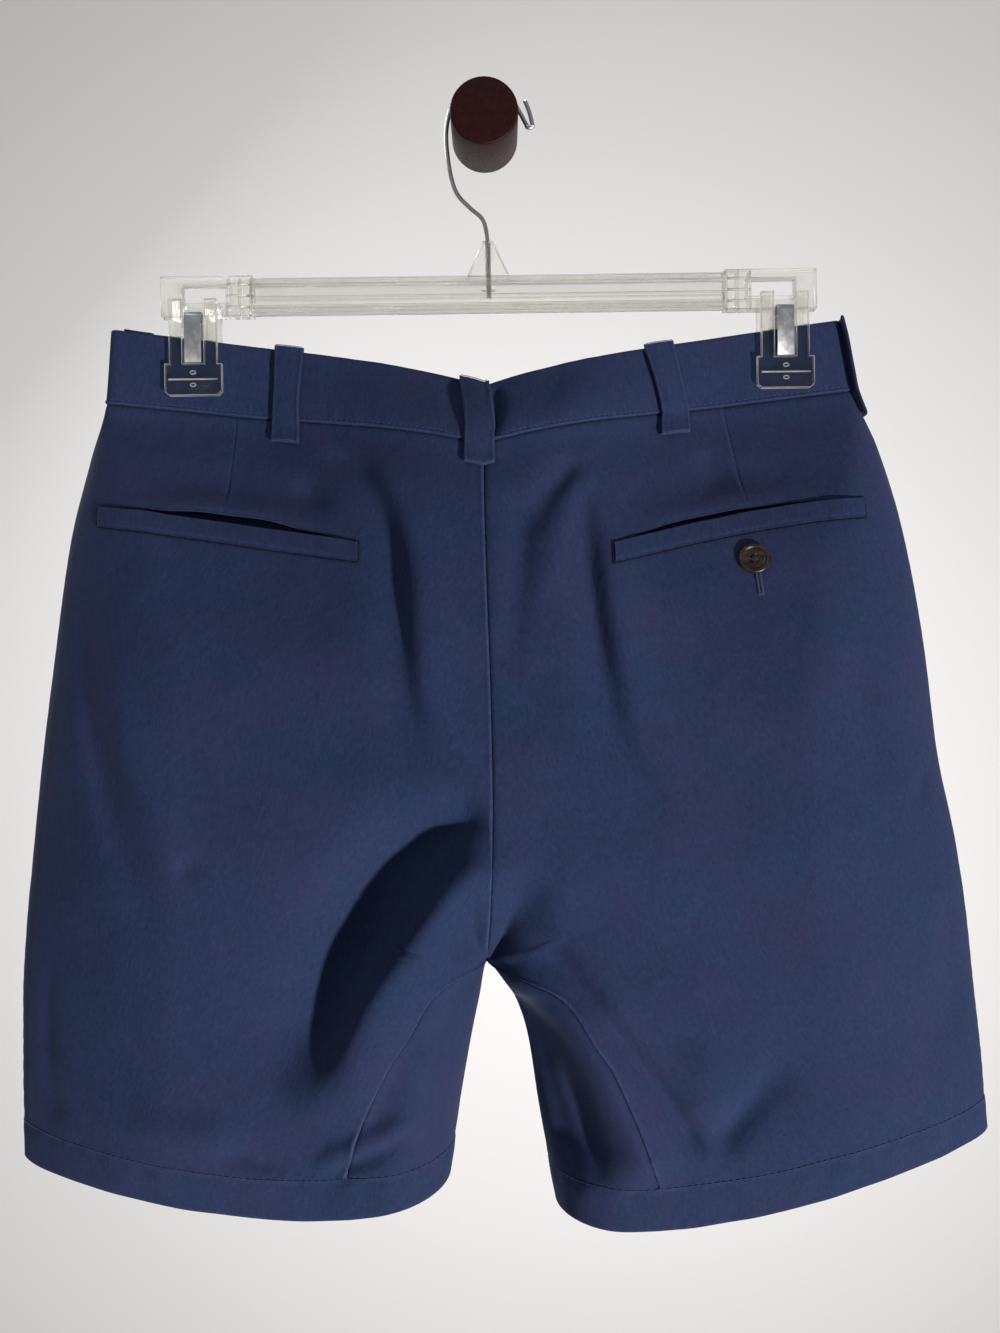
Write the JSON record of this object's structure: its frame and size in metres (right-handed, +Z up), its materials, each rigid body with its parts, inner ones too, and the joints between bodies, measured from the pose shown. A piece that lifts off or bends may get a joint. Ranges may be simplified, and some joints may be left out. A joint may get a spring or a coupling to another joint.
{
  "type": "chino shorts on a clip hanger and wall peg",
  "caption": "Navy cotton chino shorts, hung by the waistband from a clear clip hanger on a round wall peg, back pockets outwards.",
  "frame": {"origin": "centre of the wall peg's back face, where it meets the wall", "axes": "+Z up; +Y into the wall, so the back of the shorts faces -Y; +X to the right of someone who faces the wall, the wearer's right side"},
  "size_m": [0.4907, 0.0993, 0.5831],
  "materials": {
    "cloth": "matt cotton twill, garment washed",
    "facing": "matt cotton twill",
    "button": "dark brown, satin",
    "zip": "dull brass on navy tape",
    "clear": "clear, slightly warm",
    "steel": "bright plated wire",
    "peg": "dark brown lacquer, semi-gloss"
  },
  "bodies": {
    "root": {"back_panel_left": "cloth", "front_panel_left": "cloth", "waistband_left": "cloth", "hem_left": "cloth", "back_welt_left": "cloth", "back_facing_left": "facing", "front_facing_left": "cloth", "back_panel_right": "cloth", "front_panel_right": "cloth", "waistband_right": "cloth", "hem_right": "cloth", "back_welt_right": "cloth", "back_facing_right": "facing", "front_facing_right": "cloth", "belt_loop_centre_back": "cloth", "belt_loop_back_left": "cloth", "belt_loop_back_right": "cloth", "belt_loop_side_left": "cloth", "belt_loop_front_left": "cloth", "belt_loop_front_right": "cloth", "belt_loop_side_right": "cloth", "fly": "cloth", "zip": "zip", "back_pocket_button": "button", "waist_button": "button", "hanger_bar": "clear", "clip_left_back_jaw": "clear", "clip_left_front_jaw": "clear", "clip_left_spring": "steel", "clip_right_back_jaw": "clear", "clip_right_front_jaw": "clear", "clip_right_spring": "steel", "hanger_hook": "steel", "wall_peg": "peg"}
  },
  "joints": []
}
